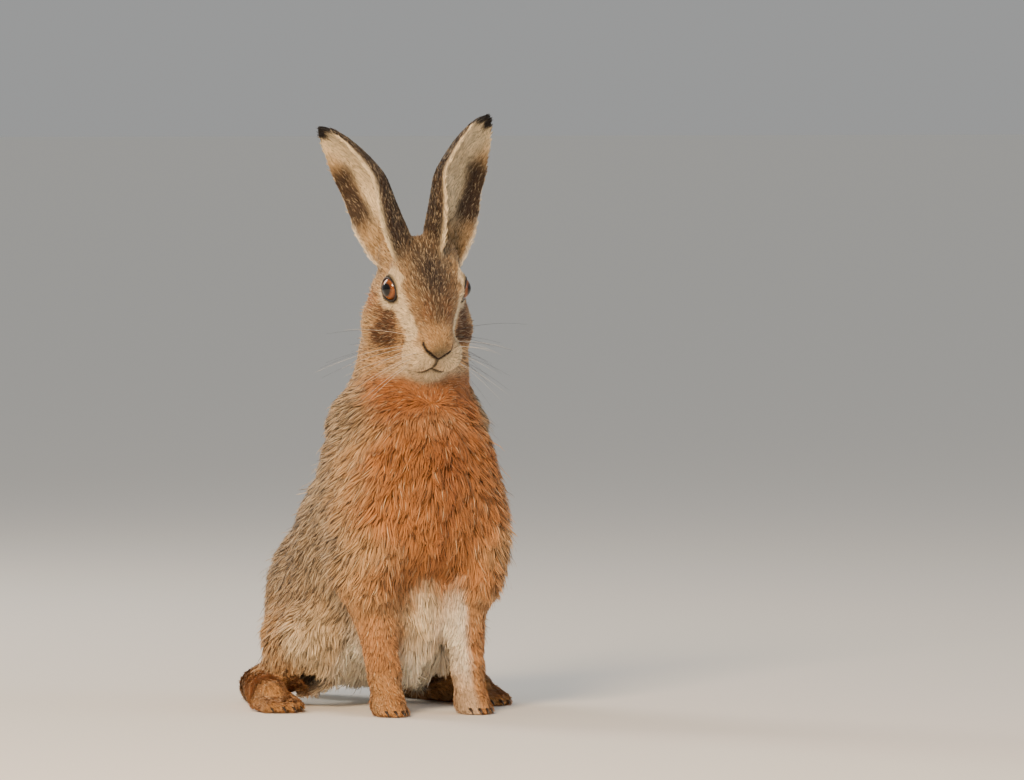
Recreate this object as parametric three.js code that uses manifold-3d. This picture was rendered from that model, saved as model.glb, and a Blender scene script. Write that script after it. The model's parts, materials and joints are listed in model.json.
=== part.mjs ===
// A brown hare sitting upright on its haunches, life size, in millimetres, +Z up.
// The hare faces -Y, with its left side at +X, and its head is turned a little to its right.
// The flesh is one smooth field of rounded masses, out to the tips of the coat. It is meshed in
// pieces, and parted by thin cuts where the animal's parts meet. The ears are lofted cups.
import * as THREE from "three";
import { mergeVertices } from "three/addons/utils/BufferGeometryUtils.js";
import Module from "manifold-3d";

// Driving dimensions.
const eyeHeight = 332; // of the middle between the eyes
const eyeSetBack = -2; // behind the forefeet
const headShift = -3; // of the head, towards the hare's left
const headTurn = -8; // degrees, towards the hare's right
const headPitch = 45; // degrees, how far the line from eye to nose points down
const noseReach = 64; // from the middle between the eyes to the nose
const eyeSpread = 24.5; // from the midline to an eyeball's centre
const eyeRadius = 10.7;
const earLength = 108;
const trunkHalfWidth = 70;
const chestHeight = 176;
const foreStance = 36; // from the midline to a forefoot
const hindStance = 66; // from the midline to a hind foot's heel
const rumpSetBack = 140; // behind the forefeet
const soleRadius = 15;
const gap = 0.3; // left between parts that touch

const degrees = Math.PI / 180;
const sides = { left: 1, right: -1 };

// Fields. Each is a function of a point that is below zero inside the shape.

function ellipsoid([cx, cy, cz], [rx, ry, rz], tilt = 0) {
  // tilt turns the shape about X, in degrees, so that its front end drops.
  const c = Math.cos(tilt * degrees);
  const s = Math.sin(tilt * degrees);
  return (x, y, z) => {
    const px = x - cx;
    const py = (y - cy) * c - (z - cz) * s;
    const pz = (y - cy) * s + (z - cz) * c;
    const far = Math.hypot(px / rx, py / ry, pz / rz);
    const slope = Math.hypot(px / (rx * rx), py / (ry * ry), pz / (rz * rz));
    return slope < 1e-9 ? -Math.min(rx, ry, rz) : (far * (far - 1)) / slope;
  };
}

function limb(from, to, fromRadius, toRadius) {
  const [ax, ay, az] = from;
  const [bx, by, bz] = [to[0] - ax, to[1] - ay, to[2] - az];
  const long = bx * bx + by * by + bz * bz;
  const thinning = fromRadius - toRadius;
  const across = long - thinning * thinning;
  return (x, y, z) => {
    const [px, py, pz] = [x - ax, y - ay, z - az];
    const along = px * bx + py * by + pz * bz;
    const beyond = along - long;
    const [qx, qy, qz] = [px * long - bx * along, py * long - by * along, pz * long - bz * along];
    const off = qx * qx + qy * qy + qz * qz;
    const start = along * along * long;
    const end = beyond * beyond * long;
    const cone = Math.sign(thinning) * thinning * thinning * off;
    if (Math.sign(beyond) * across * end > cone) return Math.sqrt(off + end) / long - toRadius;
    if (Math.sign(along) * across * start < cone) return Math.sqrt(off + start) / long - fromRadius;
    return (Math.sqrt((off * across) / long) + along * thinning) / long - fromRadius;
  };
}

function melt(a, b, reach) {
  const h = Math.max(reach - Math.abs(a - b), 0) / reach;
  return Math.min(a, b) - (h * h * h * reach) / 6;
}

function blend(reach, ...fields) {
  return (x, y, z) => {
    let found = fields[0](x, y, z);
    for (let i = 1; i < fields.length; i++) found = melt(found, fields[i](x, y, z), reach);
    return found;
  };
}

function carve(field, tool, reach) {
  return (x, y, z) => -melt(-field(x, y, z), tool(x, y, z), reach);
}

function chain(points, radii, reach = 6) {
  return blend(reach, ...points.slice(1).map((p, i) => limb(points[i], p, radii[i], radii[i + 1])));
}

// The head has axes of its own: u to its left, v towards the nose and w up through the forehead.

const headFrame = (() => {
  const turn = headTurn * degrees;
  const pitch = headPitch * degrees;
  const [sinTurn, cosTurn] = [Math.sin(turn), Math.cos(turn)];
  const [sinPitch, cosPitch] = [Math.sin(pitch), Math.cos(pitch)];
  return {
    origin: new THREE.Vector3(headShift, eyeSetBack, eyeHeight),
    left: new THREE.Vector3(cosTurn, sinTurn, 0),
    nose: new THREE.Vector3(sinTurn * cosPitch, -cosTurn * cosPitch, -sinPitch),
    up: new THREE.Vector3(sinTurn * sinPitch, -cosTurn * sinPitch, cosPitch),
  };
})();

function onHead(u, v, w) {
  const { origin, left, nose, up } = headFrame;
  return origin.clone().addScaledVector(left, u).addScaledVector(nose, v).addScaledVector(up, w);
}

function inHeadAxes(field) {
  const { origin, left, nose, up } = headFrame;
  return (x, y, z) => {
    const [px, py, pz] = [x - origin.x, y - origin.y, z - origin.z];
    return field(
      px * left.x + py * left.y + pz * left.z,
      px * nose.x + py * nose.y + pz * nose.z,
      px * up.x + py * up.y + pz * up.z,
    );
  };
}

const eyeAxis = { out: 0.925, nose: 0.34, up: 0.17 }; // where a left eye looks, as a unit vector

function eyeCentre(side) {
  return [side * eyeSpread, 0, 2];
}

// The lids are a cap over the eyeball with an oval opening round the eye's axis.
const lidThickness = 1.7;
function lidOpening(side) {
  const [cu, cv, cw] = eyeCentre(side);
  const axis = new THREE.Vector3(side * eyeAxis.out, eyeAxis.nose, eyeAxis.up).normalize();
  const along = new THREE.Vector3(0, 1, -0.2);
  along.addScaledVector(axis, -along.dot(axis)).normalize();
  const over = new THREE.Vector3().crossVectors(axis, along);
  const openLength = 0.87 * eyeRadius;
  const openHeight = 0.78 * eyeRadius;
  return (u, v, w) => {
    const p = new THREE.Vector3(u - cu, v - cv, w - cw);
    const oval = Math.hypot(p.dot(along) / openLength, p.dot(over) / openHeight) - 1;
    return Math.max(oval * openHeight, 2 - p.dot(axis));
  };
}

const headField = (() => {
  const skull = blend(
    16,
    ellipsoid([0, -20, -7], [30, 34, 30]),
    ellipsoid([0, 2, 5], [24, 37, 17]),
    ellipsoid([0, -4, -20], [31, 34, 25]),
  );
  const upperCheek = (s) => ellipsoid([s * 19, -8, -24], [18, 28, 23]);
  const jowl = (s) => ellipsoid([s * 26, 3, -38], [18, 23, 19]);
  const cheek = (s) => blend(10, upperCheek(s), jowl(s));
  const cheeks = blend(14, cheek(sides.left), cheek(sides.right));
  const muzzle = blend(
    10,
    limb([0, 8, 1], [0, 0.74 * noseReach, -2], 18, 12),
    limb([0, 14, -18], [0, 0.7 * noseReach, -16], 23.5, 15.5),
    ...Object.values(sides).map((s) => ellipsoid([s * 12, 0.74 * noseReach, -23], [12, 12.5, 13.5])),
  );
  const chin = blend(
    8,
    ellipsoid([0, 0.69 * noseReach, -38.5], [15.5, 12, 9.5]),
    limb([0, -8, -32], [0, 0.52 * noseReach, -35], 20, 14),
  );
  const nosePad = ellipsoid([0, noseReach - 7, -6], [10.5, 7, 8.5]);
  const brows = blend(6, ...Object.values(sides).map((s) => limb([s * 21, -10, 11], [s * 21, 10, 9], 7, 6)));
  const earRoots = blend(
    8,
    ...Object.values(sides).map((s) => ellipsoid([s * 17, -33, 3], [14, 17, 13])),
  );
  let field = blend(12, blend(12, skull, cheeks), muzzle);
  field = blend(6, field, chin, nosePad);
  field = blend(7, field, brows);
  field = blend(12, field, earRoots);
  for (const s of Object.values(sides)) {
    const [cu, cv, cw] = eyeCentre(s);
    const orbit = ellipsoid([cu + s * 9, cv + 4, cw], [7.5, 13, 10]);
    field = carve(field, orbit, 6);
    const lids = eyeRadius + lidThickness;
    field = carve(blend(4, field, ellipsoid([cu, cv, cw], [lids, lids, lids])), lidOpening(s), 1.4);
  }
  // The nostrils are slits that slope in to the cleft of the lip, and the mouth runs back from it.
  const lipTop = [0, noseReach - 1, -14];
  const lipFoot = [0, noseReach - 5, -29];
  for (const s of Object.values(sides)) {
    const nostrilTop = [s * 8, noseReach - 3.5, -6.5];
    const nostrilFoot = [s * 5.5, noseReach - 1, -9];
    const nostril = chain([nostrilTop, nostrilFoot, lipTop], [1.5, 1.9, 1.4]);
    const lipSide = [s * 8, noseReach - 9, -35];
    const lipBack = [s * 16, noseReach - 19, -37];
    const mouthCorner = [s * 20, noseReach - 30, -35];
    const mouth = chain([lipFoot, lipSide, lipBack, mouthCorner], [1, 1.05, 1, 0.9], 3);
    field = carve(field, nostril, 2);
    field = carve(field, mouth, 1.2);
  }
  return inHeadAxes(carve(field, limb(lipTop, lipFoot, 1.2, 1.3), 1.5));
})();

// The trunk leans back from the chest to the rump.
const trunkField = blend(
  26,
  ellipsoid([0, 44, chestHeight], [trunkHalfWidth, 68, 86], -18),
  ellipsoid([0, -2, chestHeight + 8], [54, 38, 66]),
  ellipsoid([0, 84, 132], [trunkHalfWidth, 76, 78], -38),
  ellipsoid([0, rumpSetBack, 88], [trunkHalfWidth, 66, 74]),
  ellipsoid([0, 70, 84], [48, 66, 50]),
  ...Object.values(sides).map((s) => ellipsoid([s * 45, 12, 138], [27, 38, 56])),
);

const neckField = blend(
  18,
  limb([5, 52, 216], [6, 36, 306], 53, 39),
  ellipsoid([3, 46, 226], [63, 48, 42]),
  limb([0, 12, 190], [0, 20, 218], 44, 31),
);

const tailField = chain([[0, 204, 34], [0, 226, 24], [0, 250, 24]], [17, 16, 10], 8);

function haunchField(side) {
  return blend(
    18,
    ellipsoid([side * 47, 118, 74], [29, 60, 62], -14),
    limb([side * 62, 84, 64], [side * 56, 118, 56], 19, 32),
    limb([side * 66, 82, 60], [side * hindStance, 150, 22], 17, 16),
  );
}

const flatDepth = 2; // how far the soles press into their flats
function toes(centre, spread, ends, back, radius) {
  const rise = radius - flatDepth + 0.6;
  const toe = (x, end) => limb([x, end + back, rise + 4], [x, end, rise], radius + 1, radius);
  return blend(1.5, ...spread.map((x, i) => toe(centre + x, ends[i])));
}

const hindToeX = { left: 84, right: -95 }; // the hind feet point a little outwards
const hindToeY = 72;
function hindFootField(side) {
  const toeX = side > 0 ? hindToeX.left : hindToeX.right;
  const foot = chain(
    [
      [side * hindStance, 182, soleRadius - flatDepth],
      [side * (hindStance + 9), 142, soleRadius - flatDepth],
      [toeX, hindToeY + 22, soleRadius - flatDepth - 1],
    ],
    [soleRadius, soleRadius + 1, soleRadius - 1],
    10,
  );
  const ends = [-1.3, -0.4, 0.4, 1.3].map((n) => hindToeY - 14 + 6 * Math.abs(n));
  return blend(4, foot, toes(toeX, [-12.5, -4.2, 4.2, 12.5], ends, 24, 5.8));
}

const wristHeight = 34;
function forelegField(side) {
  const x = side * foreStance;
  const leg = chain(
    [
      [side * (foreStance + 9), 26, 122],
      [side * (foreStance + 3), 18, 88],
      [x, 4, wristHeight],
      [x, -2, 11.8 - flatDepth],
      [x, -12, 10.5 - flatDepth],
    ],
    [28, 18, 12, 11.8, 10.5],
    10,
  );
  const ends = [-1.5, -0.5, 0.5, 1.5].map((n) => -23 + 5 * Math.abs(n));
  return blend(3, leg, toes(x, [-8.7, -3, 3, 8.7], ends, 13, 4.6));
}

const bellyField = blend(16, limb([0, 34, 120], [0, 32, 58], 34, 18), limb([0, 40, 66], [0, 32, 32], 17, 8));

// The whole animal without ears or eyes. Each limb melts into the trunk over its own reach.
const body = (() => {
  let field = blend(16, blend(26, trunkField, neckField), bellyField);
  for (const s of Object.values(sides)) {
    field = blend(14, field, haunchField(s));
    field = blend(8, field, hindFootField(s));
    field = blend(14, field, forelegField(s));
  }
  field = blend(10, field, tailField);
  return blend(12, field, headField);
})();

// Meshing. Each cell of a grid is six tetrahedra, and the surface crosses each as one or two triangles.

const corners = [0, 1, 2, 3, 4, 5, 6, 7].map((n) => [n & 1, (n >> 1) & 1, (n >> 2) & 1]);
const tetrahedra = [
  [0, 1, 3, 7],
  [0, 1, 5, 7],
  [0, 2, 3, 7],
  [0, 2, 6, 7],
  [0, 4, 5, 7],
  [0, 4, 6, 7],
];
const isTurnedRight = (tetrahedron) => {
  const [a, b, c, d] = tetrahedron.map((n) => new THREE.Vector3(...corners[n]));
  return b.sub(a).dot(c.sub(a).cross(d.sub(a))) > 0;
};

// Crossed edges of one tetrahedron, in threes, for the corners that lie inside.
function crossings(tetrahedron, isInside) {
  let order = [...tetrahedron.filter(isInside), ...tetrahedron.filter((n) => !isInside(n))];
  if (!isTurnedRight(order)) order = [order[1], order[0], order[2], order[3]];
  const count = tetrahedron.filter(isInside).length;
  const [a, b, c, d] = order;
  if (count === 2) return [[[a, c], [a, d], [b, d]], [[a, c], [b, d], [b, c]]];
  const lone = count === 1 ? tetrahedron.find(isInside) : tetrahedron.find((n) => !isInside(n));
  let rest = tetrahedron.filter((n) => n !== lone);
  if (isTurnedRight([lone, ...rest]) !== (count === 1)) rest = [rest[1], rest[0], rest[2]];
  return [rest.map((n) => [lone, n])];
}

const crossingsOf = tetrahedra.map((t) =>
  Array.from({ length: 256 }, (_, mask) => {
    const isInside = (n) => ((mask >> n) & 1) === 1;
    const count = t.filter(isInside).length;
    return count === 0 || count === 4 ? [] : crossings(t, isInside);
  }),
);

function skin(field, low, high, cell) {
  const [nx, ny, nz] = low.map((v, i) => Math.ceil((high[i] - v) / cell) + 1);
  const at = (i, j, k) => i + nx * (j + ny * k);
  const value = new Float32Array(nx * ny * nz);
  for (let k = 0; k < nz; k++)
    for (let j = 0; j < ny; j++)
      for (let i = 0; i < nx; i++) {
        const edge = i * j * k === 0 || i === nx - 1 || j === ny - 1 || k === nz - 1;
        const d = field(low[0] + i * cell, low[1] + j * cell, low[2] + k * cell);
        value[at(i, j, k)] = edge ? Math.max(d, 0.5 * cell) : d;
      }
  const points = [];
  const triangles = [];
  const known = new Map();
  const pointOn = (i, j, k, m, n) => {
    const [a, b] = [m, n].map((c) => [i + corners[c][0], j + corners[c][1], k + corners[c][2]]);
    const [ia, ib] = [at(...a), at(...b)];
    const key = Math.min(ia, ib) * 8 + (m ^ n);
    if (!known.has(key)) {
      const t = Math.min(Math.max(value[ia] / (value[ia] - value[ib]), 0.04), 0.96);
      known.set(key, points.length);
      points.push(a.map((v, axis) => low[axis] + (v + t * (b[axis] - v)) * cell));
    }
    return known.get(key);
  };
  const steps = corners.map((c) => at(...c));
  for (let k = 0; k < nz - 1; k++)
    for (let j = 0; j < ny - 1; j++)
      for (let i = 0; i < nx - 1; i++) {
        const here = at(i, j, k);
        let mask = 0;
        for (let c = 0; c < 8; c++) if (value[here + steps[c]] < 0) mask |= 1 << c;
        if (mask === 0 || mask === 255) continue;
        const crossed = crossingsOf.flatMap((table) => table[mask]);
        for (const triangle of crossed) triangles.push(triangle.map(([m, n]) => pointOn(i, j, k, m, n)));
      }
  return { points, triangles };
}

// Merges edges, the ones that change the surface least first, until few enough triangles are left.
function thin({ points, triangles }, wanted) {
  const quadrics = points.map(() => new Float64Array(10));
  const facesOf = points.map(() => new Set());
  const alive = triangles.map(() => true);
  const sub = (a, b) => [a[0] - b[0], a[1] - b[1], a[2] - b[2]];
  const cross = (a, b) => [a[1] * b[2] - a[2] * b[1], a[2] * b[0] - a[0] * b[2], a[0] * b[1] - a[1] * b[0]];
  const dot = (a, b) => a[0] * b[0] + a[1] * b[1] + a[2] * b[2];
  const normalOf = (a, b, c) => cross(sub(b, a), sub(c, a));
  triangles.forEach((t, f) => {
    const [a, b, c] = t.map((v) => points[v]);
    const n = normalOf(a, b, c);
    const area = Math.sqrt(dot(n, n)) || 1e-12;
    const [x, y, z] = n.map((v) => v / area);
    const d = -dot([x, y, z], a);
    const plane = [x * x, x * y, x * z, x * d, y * y, y * z, y * d, z * z, z * d, d * d];
    for (const v of t) {
      plane.forEach((q, i) => (quadrics[v][i] += q * area));
      facesOf[v].add(f);
    }
  });
  const costAt = (q, [x, y, z]) =>
    q[0] * x * x + 2 * q[1] * x * y + 2 * q[2] * x * z + 2 * q[3] * x + q[4] * y * y +
    2 * q[5] * y * z + 2 * q[6] * y + q[7] * z * z + 2 * q[8] * z + q[9];
  const best = (q, a, b) => {
    const [A, B, C, D, E, F] = [q[0], q[1], q[2], q[4], q[5], q[7]];
    const determinant = A * (D * F - E * E) - B * (B * F - E * C) + C * (B * E - D * C);
    const middle = [0, 1, 2].map((i) => (a[i] + b[i]) / 2);
    const scale = (A + D + F) / 3;
    if (Math.abs(determinant) > 1e-3 * scale * scale * scale) {
      const [rx, ry, rz] = [-q[3], -q[6], -q[8]];
      const p = [
        (rx * (D * F - E * E) + ry * (C * E - B * F) + rz * (B * E - C * D)) / determinant,
        (rx * (C * E - B * F) + ry * (A * F - C * C) + rz * (B * C - A * E)) / determinant,
        (rx * (B * E - C * D) + ry * (B * C - A * E) + rz * (A * D - B * B)) / determinant,
      ];
      const away = sub(p, middle);
      const edge = sub(a, b);
      if (dot(away, away) < 1.5 * dot(edge, edge)) return p;
    }
    return middle;
  };
  const heap = [];
  const swap = (i, j) => ([heap[i], heap[j]] = [heap[j], heap[i]]);
  const push = (entry) => {
    let i = heap.push(entry) - 1;
    while (i && heap[(i - 1) >> 1].cost > heap[i].cost) {
      swap(i, (i - 1) >> 1);
      i = (i - 1) >> 1;
    }
  };
  const pop = () => {
    const top = heap[0];
    const last = heap.pop();
    if (heap.length) {
      heap[0] = last;
      for (let i = 0; ; ) {
        const [l, r] = [2 * i + 1, 2 * i + 2];
        let least = l < heap.length && heap[l].cost < heap[i].cost ? l : i;
        if (r < heap.length && heap[r].cost < heap[least].cost) least = r;
        if (least === i) break;
        swap(i, least);
        i = least;
      }
    }
    return top;
  };
  const age = new Int32Array(points.length);
  const offer = (a, b) => {
    const q = quadrics[a].map((v, i) => v + quadrics[b][i]);
    const place = best(q, points[a], points[b]);
    const edge = sub(points[a], points[b]);
    const cost = Math.max(costAt(q, place), 0) + 1e-5 * dot(edge, edge);
    push({ a, b, place, cost, ages: [age[a], age[b]] });
  };
  triangles.forEach(([a, b, c]) => [[a, b], [b, c], [c, a]].forEach(([p, q]) => p < q && offer(p, q)));
  const around = (v) => new Set([...facesOf[v]].flatMap((f) => triangles[f]).filter((w) => w !== v));
  let left = triangles.length;
  while (left > wanted && heap.length) {
    const { a, b, place, ages } = pop();
    if (age[a] !== ages[0] || age[b] !== ages[1]) continue;
    const shared = [...around(a)].filter((v) => around(b).has(v));
    if (shared.length !== 2) continue;
    const turns = [a, b].some((v) =>
      [...facesOf[v]].some((f) => {
        const t = triangles[f];
        if (t.includes(a) && t.includes(b)) return false;
        const before = normalOf(...t.map((w) => points[w]));
        const after = normalOf(...t.map((w) => (w === v ? place : points[w])));
        return dot(before, after) < 0.3 * Math.sqrt(dot(before, before) * dot(after, after));
      }),
    );
    if (turns) continue;
    points[a] = place;
    quadrics[b].forEach((v, i) => (quadrics[a][i] += v));
    for (const f of facesOf[b]) {
      const t = triangles[f];
      if (t.includes(a)) {
        alive[f] = false;
        left--;
        t.forEach((v) => v !== b && facesOf[v].delete(f));
      } else {
        t[t.indexOf(b)] = a;
        facesOf[a].add(f);
      }
    }
    facesOf[b].clear();
    age[b]++;
    age[a]++;
    for (const v of around(a)) offer(a, v);
  }
  return { points, triangles: triangles.filter((_, f) => alive[f]) };
}

// Solids.

const wasm = await Module();
wasm.setup();

function solidOfMesh({ points, triangles }) {
  return new wasm.Manifold(
    new wasm.Mesh({
      numProp: 3,
      vertProperties: new Float32Array(points.flat()),
      triVerts: new Uint32Array(triangles.flat()),
    }),
  );
}

function solidOf(geometry) {
  const bare = geometry.clone();
  bare.deleteAttribute("normal");
  bare.deleteAttribute("uv");
  const merged = mergeVertices(bare, 1e-4);
  return new wasm.Manifold(
    new wasm.Mesh({
      numProp: 3,
      vertProperties: merged.getAttribute("position").array,
      triVerts: new Uint32Array(merged.index.array),
    }),
  );
}

function largest(solid) {
  return solid.decompose().sort((a, b) => b.volume() - a.volume())[0];
}

function geometryOf(solid) {
  const { vertProperties, triVerts } = solid.getMesh();
  const geometry = new THREE.BufferGeometry();
  geometry.setAttribute("position", new THREE.BufferAttribute(new Float32Array(vertProperties), 3));
  geometry.setIndex(new THREE.BufferAttribute(new Uint32Array(triVerts), 1));
  return geometry;
}

// A half of space is a big box whose one face passes through a point.
const farReach = 900;
function halfSpace(point, outward, clearance = 0) {
  const normal = new THREE.Vector3(...outward).normalize();
  const box = new THREE.BoxGeometry(farReach, farReach, farReach);
  const turn = new THREE.Quaternion().setFromUnitVectors(new THREE.Vector3(0, 0, 1), normal);
  const centre = new THREE.Vector3(...point).addScaledVector(normal, farReach / 2 + clearance);
  return solidOf(box.applyQuaternion(turn).translate(centre.x, centre.y, centre.z));
}

function ovalCutter([cx, cy, cz], [rx, ry, rz], tilt, grow = 0) {
  const ball = new THREE.SphereGeometry(1, 28, 18);
  ball.scale(rx + grow, ry + grow, rz + grow);
  ball.rotateX(tilt * degrees);
  return solidOf(ball.translate(cx, cy, cz));
}

// Cuts between the parts. Each plane is a point and the direction of the part beyond it.
const cuts = {
  floor: { point: [0, 0, 0], outward: [0, 0, 1] },
  head: { point: [0, 20, 262], outward: [-0.05, -0.42, 0.9] },
  neck: { point: [0, 30, 226], outward: [0, 0.1, 1] },
  elbow: { point: [0, 20, 104], outward: [0, 0.12, -1] },
  wrist: { point: [0, 0, wristHeight + 1], outward: [0, 0, -1] },
  tail: { point: [0, 206, 40], outward: [0, 1, -0.35] },
};
const half = gap / 2;
const beyond = (cut) => halfSpace(cut.point, cut.outward, half);
const before = (cut) => halfSpace(cut.point, cut.outward.map((v) => -v), half);

const haunchCut = { radii: [36, 74, 84], tilt: -14 };
function haunchCutter(side, grow) {
  return ovalCutter([side * 76, 116, 68], haunchCut.radii, haunchCut.tilt, grow);
}

function limbCutter(from, to, fromRadius, toRadius, grow) {
  const shape = limb(from, to, fromRadius + grow, toRadius + grow);
  const wide = Math.max(fromRadius, toRadius) + 9;
  const low = from.map((v, i) => Math.min(v, to[i]) - wide);
  const high = from.map((v, i) => Math.max(v, to[i]) + wide);
  return solidOfMesh(thin(skin(shape, low, high, 5), 500));
}
function foreCutter(side, grow) {
  return limbCutter([side * 44, 20, 112], [side * foreStance, -10, 4], 28, 22, grow);
}
function footCutter(side, grow) {
  return limbCutter([side * 62, 190, 0], [side * 97, 66, 0], 34, 30, grow);
}
const footTop = 31;

function piece(low, high, cell, triangles) {
  return solidOfMesh(thin(skin(body, low, high, cell), triangles));
}

// An ear is a sheet rolled round its long axis. Each section is a crescent, its outer face first.
const ears = {
  left: { rootOut: 16, lean: [44, -3, 101], facing: 42 },
  right: { rootOut: -19, lean: [-57, 32, 97], facing: -95 },
};
const earThickness = 5;
const earStations = 17;
const earSteps = 9;
function earGirth(t) {
  const swell = 66 + 22 * Math.sin(Math.PI * Math.min(1, (t + 0.1) / 1.05));
  return swell * Math.sqrt(Math.max(1 - Math.pow(Math.max(t - 0.42, 0) / 0.585, 2.2), 0.004));
}
function earCurl(t) {
  return 116 - 46 * Math.min(1, t / 0.5) - 16 * t;
}

function earSheet({ rootOut, lean, facing }) {
  const root = onHead(rootOut, -38, 12);
  const along = new THREE.Vector3(...lean).normalize();
  const open = new THREE.Vector3(Math.sin(facing * degrees), -Math.cos(facing * degrees), 0);
  open.addScaledVector(along, -open.dot(along)).normalize();
  const across = new THREE.Vector3().crossVectors(along, open).normalize();
  const sections = [];
  for (let i = 0; i <= earStations; i++) {
    const t = i / earStations;
    const bend = earCurl(t) * degrees;
    const radius = earGirth(t) / (2 * bend);
    const spine = root.clone().addScaledVector(along, t * earLength - 14 * (1 - t));
    const ring = [];
    for (const face of [1, -1])
      for (let j = 0; j <= earSteps; j++) {
        const s = face * ((2 * j) / earSteps - 1);
        const r = radius + 0.5 * face * earThickness * (1 - 0.6 * s * s) * (1 - 0.5 * t);
        const point = spine.clone().addScaledVector(open, 0.5 * radius - r * Math.cos(s * bend));
        ring.push(point.addScaledVector(across, r * Math.sin(s * bend)).toArray());
      }
    sections.push(ring);
  }
  const around = 2 * (earSteps + 1);
  const triangles = [];
  const quad = (a, b, c, d) => triangles.push([a, b, c], [a, c, d]);
  for (let i = 0; i < earStations; i++)
    for (let j = 0; j < around; j++) {
      const next = (j + 1) % around;
      quad(i * around + j, i * around + next, (i + 1) * around + next, (i + 1) * around + j);
    }
  const top = earStations * around;
  for (let j = 0; j < earSteps; j++) {
    const opposite = around - 1 - j;
    quad(j, opposite, opposite - 1, j + 1);
    quad(top + j, top + j + 1, top + opposite - 1, top + opposite);
  }
  const points = sections.flat();
  const solid = solidOfMesh({ points, triangles });
  const turned = triangles.map(([x, y, z]) => [x, z, y]);
  return solid.volume() > 0 ? solid : solidOfMesh({ points, triangles: turned });
}

// The parts.

const coats = {
  back: { color: 0x8a6a48, roughness: 0.95 },
  chest: { color: 0xb5703f, roughness: 0.95 },
  head: { color: 0x8d7050, roughness: 0.95 },
  ear: { color: 0x7a6248, roughness: 0.9 },
  tail: { color: 0x2a2320, roughness: 0.95 },
  paw: { color: 0xb98a5a, roughness: 0.95 },
  eye: { color: 0x3a1c0c, roughness: 0.08 },
};
const hare = new THREE.Group();

function add(name, solid, coat) {
  const finish = new THREE.MeshStandardMaterial({ ...coats[coat], metalness: 0 });
  const mesh = new THREE.Mesh(geometryOf(solid), finish);
  mesh.name = name;
  hare.add(mesh);
}

const headBox = [[-60, -72, 236], [56, 92, 396]];
const headPiece = piece(...headBox, 1.5, 5800);
const headClear = solidOfMesh(thin(skin((x, y, z) => body(x, y, z) - 2 * gap, ...headBox, 3), 2200));
let head = headPiece.intersect(beyond(cuts.head));
for (const [name, side] of Object.entries(sides)) {
  const [u, v, w] = onHead(...eyeCentre(side)).toArray();
  const ball = (radius) => solidOf(new THREE.SphereGeometry(radius, 20, 12).translate(u, v, w));
  head = head.subtract(ball(eyeRadius + gap));
  add("eye_" + name, ball(eyeRadius), "eye");
  add("ear_" + name, largest(earSheet(ears[name]).subtract(headClear).subtract(headPiece)), "ear");
}
add("head", largest(head), "head");

const neck = piece([-84, -70, 200], [84, 140, 330], 4, 1300);
add("neck", largest(neck.intersect(before(cuts.head)).intersect(beyond(cuts.neck))), "chest");

let torso = piece([-114, -74, -12], [114, 240, 252], 5, 2800);
torso = torso.intersect(before(cuts.neck)).intersect(before(cuts.tail)).intersect(beyond(cuts.floor));
const tail = piece([-40, 180, -12], [40, 280, 84], 4, 500);
add("tail", largest(tail.intersect(beyond(cuts.tail)).intersect(beyond(cuts.floor))), "tail");

const aboveFoot = halfSpace([0, 0, footTop], [0, 0, 1], half);
const belowFoot = halfSpace([0, 0, footTop], [0, 0, -1], half);
const belowElbow = halfSpace(cuts.elbow.point, cuts.elbow.outward, -half);
const belowFootWide = halfSpace([0, 0, footTop], [0, 0, -1], -half);
for (const [name, side] of Object.entries(sides)) {
  const span = (from, to) => (side > 0 ? [from, to] : [-to, -from]);
  const [nearX, farX] = span(2, 96);
  const leg = piece([nearX, -66, -12], [farX, 88, 128], 2.6, 1500).intersect(beyond(cuts.floor));
  const limbPart = leg.intersect(foreCutter(side, 0)).intersect(beyond(cuts.elbow));
  add("foreleg_" + name, largest(limbPart.intersect(before(cuts.wrist))), "chest");
  add("forepaw_" + name, largest(limbPart.intersect(beyond(cuts.wrist))), "paw");
  torso = torso.subtract(foreCutter(side, gap).intersect(belowElbow)).subtract(limbPart);

  const [innerX, outerX] = span(14, 124);
  const flank = piece([innerX, 28, -12], [outerX, 236, 180], 3.6, 2000).intersect(beyond(cuts.floor));
  const foot = flank.intersect(footCutter(side, 0)).intersect(belowFoot);
  add("haunch_" + name, largest(flank.intersect(haunchCutter(side, 0)).intersect(aboveFoot)), "back");
  add("hindfoot_" + name, largest(foot), "paw");
  torso = torso.subtract(haunchCutter(side, gap)).subtract(footCutter(side, gap).intersect(belowFootWide));
  torso = torso.subtract(foot);
}
add("torso", largest(torso), "back");

const bounds = new THREE.Box3().setFromObject(hare);
const middle = bounds.getCenter(new THREE.Vector3());
hare.children.forEach((mesh) => mesh.geometry.translate(-middle.x, -middle.y, -bounds.min.z));
export default hare;
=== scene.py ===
# A brown hare sitting upright, dressed over its solids: one skin under a coat of tufts, glass eyes,
# whiskers and claws. Places are worked out in mm and set in metres, in the part's frame: the hare
# faces -Y and its left is +X.
import json
import math

import bmesh
import bpy
import numpy as np
from mathutils import Matrix, Vector, kdtree
from mathutils.bvhtree import BVHTree

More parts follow.
